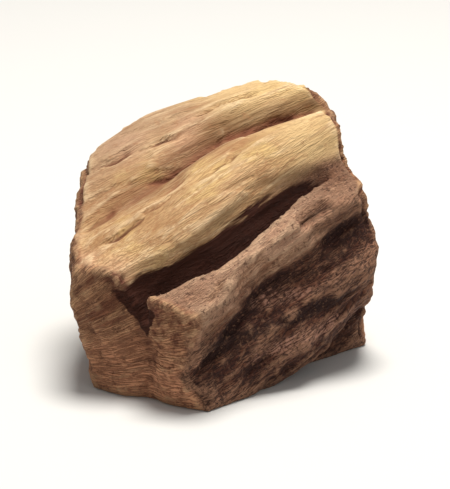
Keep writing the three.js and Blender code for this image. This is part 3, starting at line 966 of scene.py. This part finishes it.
def end_group(streaks, grit):
    """Cut across the grain: brown cortex, a dark cambium line, rayed wood with pores, pale pith."""
    tree, given, out = finish_group("cut_end_finish", "End Place")
    radius = part_along(tree, given["End Place"], "X")
    upward = part_along(tree, given["Root Place"], "Z")
    broad = use(tree, streaks, {"Place": given["End Place"], "Length": 4.0, "Width": 0.5})
    rays = use(tree, streaks, {"Place": given["End Place"], "Length": 1.8, "Width": 0.17})
    dust = use(tree, grit, {"Place": given["Root Place"], "Size": 0.09})
    spongy = use(tree, grit, {"Place": given["Root Place"], "Size": 0.3})
    stain_and_shade = noise_at(tree, given["Root Place"], 0.42, 3.0)
    wander = noise_at(tree, given["Root Place"], 0.7, 3.0)
    wandering = maths(tree, "ADD", radius, maths(tree, "MULTIPLY", wander, 0.8))
    wood = tinted(tree, CUT_END["brown wood"], CUT_END["tan wood"], broad["Streaks"], 0.38, 0.62)
    pith = mix_colour(tree, dust["Pits"], CUT_END["pith pit"], CUT_END["pith"])
    cortex = tinted(tree, CUT_END["brown cortex"], CUT_END["tan cortex"], spongy["Speckle"], 0.4, 0.6)
    colour = mix_colour(tree, between(tree, wandering, 1.9, 2.5), pith, wood)
    colour = mix_colour(tree, between(tree, wandering, 6.0, 6.4), colour, cortex)
    from_cambium = maths(tree, "ABSOLUTE", maths(tree, "SUBTRACT", wandering, 6.15))
    ring = maths(tree, "MULTIPLY", between(tree, from_cambium, 0.32, 0.05), 0.75)
    colour = mix_colour(tree, ring, colour, CUT_END["cambium"])
    colour = tinted(tree, colour, CUT_END["stain_and_shade"], stain_and_shade, 0.46, 0.62, 0.7)
    # Painted light, paler towards the lower part of the cut ends.
    colour = tinted(tree, colour, CUT_END["painted light at foot"], upward, -1.2, -3.8, 0.8)
    colour = tinted(tree, colour, CUT_END["pale ray"], rays["Streaks"], 0.52, 0.68, 0.5)
    colour = tinted(tree, colour, CUT_END["dark ray"], rays["Fibres"], 0.4, 0.0, 0.65)
    colour = tinted(tree, colour, CUT_END["spongy hollow"], spongy["Speckle"], 0.45, 0.34, 0.6)
    colour = tinted(tree, colour, CUT_END["pit"], dust["Pits"], 0.7, 0.0, 0.4)
    # Painted highlight on raised edges, together with wear.
    wear_and_highlight = wear_and_highlight_by(tree, given["Raised Fine"], spongy["Speckle"], 0.15, 0.9, 0.6)
    colour = mix_colour(tree, wear_and_highlight, colour, CUT_END["wear_and_highlight"])
    # Painted shade in fine crevices.
    colour = tinted(tree, colour, CUT_END["shade in crevices"], given["Raised Fine"], -0.2, -0.9, 0.6)
    # Painted shade in broad hollows.
    colour = tinted(tree, colour, CUT_END["shade in hollows"], given["Raised Broad"], -0.1, -0.7, 0.6)
    roughness = between(tree, dust["Speckle"], 0.3, 0.7, 0.8, 0.94)
    height = stacked(tree, (dust["Pits"], 0.015), (rays["Fibres"], 0.04), (spongy["Speckle"], 0.08))
    return put_out(tree, out, colour, roughness, height)


def place_in(tree, kind):
    return attribute(tree, kind + "_place", "Vector")


def near_to(tree, kind):
    return attribute(tree, "near_" + kind)


def finishes(tree, streaks):
    """The split wood's finish, then each of the others with the mask that it shows through."""
    grit = grit_group()
    raised = {
        "Root Place": place_in(tree, "root"),
        "Raised Fine": attribute(tree, "raised_fine"),
        "Raised Broad": attribute(tree, "raised_broad"),
    }
    wood = wood_group(streaks, grit)
    fan_shades = {"Furrow Shade": near_to(tree, "furrow"), "Ridge Shade": near_to(tree, "stain_and_shade")}
    split = use(tree, wood, {"Grain Place": place_in(tree, "split"), **fan_shades, **raised})
    torn = use(tree, wood, {"Grain Place": place_in(tree, "root"), **raised})
    light_and_shade = {"Light And Shade": attribute(tree, "bark_light_and_shade")}
    bark = use(tree, bark_group(streaks, grit), {"Bark Place": place_in(tree, "bark"), **light_and_shade, **raised})
    end = use(tree, end_group(streaks, grit), {"End Place": place_in(tree, "end"), **raised})
    edge = {"Crack Shade": near_to(tree, "lip_crack_shade")}
    lip = use(tree, cortex_group(streaks, grit), {"Grain Place": place_in(tree, "split"), **edge, **raised})
    worn_rim = maths(tree, "MULTIPLY", near_to(tree, "rim"), 0.8)
    whole_bark = maths(tree, "MULTIPLY", near_to(tree, "bark"), maths(tree, "SUBTRACT", 1.0, worn_rim))
    over = [(near_to(tree, "lip"), lip), (near_to(tree, "torn"), torn), (near_to(tree, "end"), end)]
    return split, over + [(whole_bark, bark)]


def painted_crack_shade(tree, streaks):
    """A mask of the crack's walls, where painted shade darkens them, with a frayed edge."""
    strands = use(tree, streaks, {"Place": place_in(tree, "split"), "Length": 2.0, "Width": 0.22})
    frayed = maths(tree, "MULTIPLY", maths(tree, "SUBTRACT", strands["Streaks"], 0.5), 1.5)
    frayed = maths(tree, "ADD", near_to(tree, "crack"), frayed)
    close_by = between(tree, near_to(tree, "crack"), 0.02, 0.2)
    return maths(tree, "MULTIPLY", between(tree, frayed, 0.3, 0.6), close_by)


def dried_root_material():
    """Wood, bark and cut ends joined by how near each point is to them, with painted shade on the crack's
    walls.
    """
    material = bpy.data.materials.new("dried_burdock_root")
    material.use_nodes = True
    tree = material.node_tree
    tree.nodes.clear()
    streaks = streaks_group()
    split, over = finishes(tree, streaks)
    colour, roughness, height = split["Color"], split["Roughness"], split["Height"]
    for mask, layer in over:
        colour = mix_colour(tree, mask, colour, layer["Color"])
        roughness = mix_value(tree, mask, roughness, layer["Roughness"])
        height = mix_value(tree, mask, height, layer["Height"])
    # Painted shade over the crack's walls.
    colour = mix_colour(tree, painted_crack_shade(tree, streaks), colour, CRACK_SHADE)
    bump = add(tree, "ShaderNodeBump", {"Height": height, "Distance": MM, "Strength": 1.0})
    shader = add(tree, "ShaderNodeBsdfPrincipled", {
        "Base Color": colour, "Roughness": roughness, "Normal": bump.outputs["Normal"],
        "Specular IOR Level": DULLNESS,
    })
    add(tree, "ShaderNodeOutputMaterial", {"Surface": shader.outputs[0]})
    return material


def plain_material(name, colour, roughness):
    material = bpy.data.materials.new(name)
    material.use_nodes = True
    shader = material.node_tree.nodes["Principled BSDF"]
    shader.inputs["Base Color"].default_value = colour
    shader.inputs["Roughness"].default_value = roughness
    return material


# ---- the studio ----


FLOOR_SIZE, FLOOR_COLOUR, FLOOR_ROUGHNESS = 1.2, (0.66, 0.655, 0.64, 1), 0.9
SKY_COLOUR, SKY_STRENGTH = (1, 0.99, 0.97, 1), 0.32
LIT_POINT = (0, 0, 0.004)
# Each light: its name, its place, its width, its power and its colour.
LIGHTS = [
    ("key", (0.01, 0.012, 0.125), 0.055, 0.225, (1, 0.97, 0.92)),
    ("fill", (0.10, -0.09, 0.06), 0.12, 0.015, (0.95, 0.97, 1)),
]
CAMERA_LENS, CAMERA_ELEVATION, CAMERA_DISTANCE = 200, 20, 0.092
CAMERA_TARGET, NEAREST_SEEN, FARTHEST_SEEN = (0, 0, 0.0041), 0.005, 5


def studio_floor():
    bpy.ops.object.select_all(action="DESELECT")
    bpy.ops.mesh.primitive_plane_add(size=FLOOR_SIZE)
    floor = added("floor")
    floor.data.materials.append(plain_material("pale_floor", FLOOR_COLOUR, FLOOR_ROUGHNESS))


def aim(thing, target):
    thing.rotation_euler = (Vector(target) - thing.location).to_track_quat("-Z", "Y").to_euler()


def soft_light(name, place, size, power, colour):
    lamp = bpy.data.lights.new(name, "AREA")
    lamp.shape = "DISK"
    lamp.size = size
    lamp.energy = power
    lamp.color = colour
    light = bpy.data.objects.new(name, lamp)
    bpy.context.scene.collection.objects.link(light)
    light.location = place
    aim(light, LIT_POINT)


def studio():
    studio_floor()
    world = bpy.data.worlds.new("studio_air")
    bpy.context.scene.world = world
    world.use_nodes = True
    sky = world.node_tree.nodes["Background"]
    sky.inputs["Color"].default_value = SKY_COLOUR
    sky.inputs["Strength"].default_value = SKY_STRENGTH
    for light in LIGHTS:
        soft_light(*light)
    bpy.context.scene.view_settings.view_transform = "Standard"


def camera():
    optics = bpy.data.cameras.new("camera")
    optics.lens = CAMERA_LENS
    optics.clip_start = NEAREST_SEEN
    optics.clip_end = FARTHEST_SEEN
    eye = bpy.data.objects.new("camera", optics)
    bpy.context.scene.collection.objects.link(eye)
    tilt = math.radians(CAMERA_ELEVATION)
    back = Vector((0, -math.cos(tilt), math.sin(tilt))) * CAMERA_DISTANCE
    eye.location = Vector(CAMERA_TARGET) + back
    aim(eye, CAMERA_TARGET)
    bpy.context.scene.camera = eye


bpy.ops.object.select_all(action="DESELECT")
chip_piece = burdock_chip()
chip_piece.data.materials.clear()
chip_piece.data.materials.append(dried_root_material())
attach(chip_piece, "root")
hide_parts("burdock_root_chip")
studio()
camera()
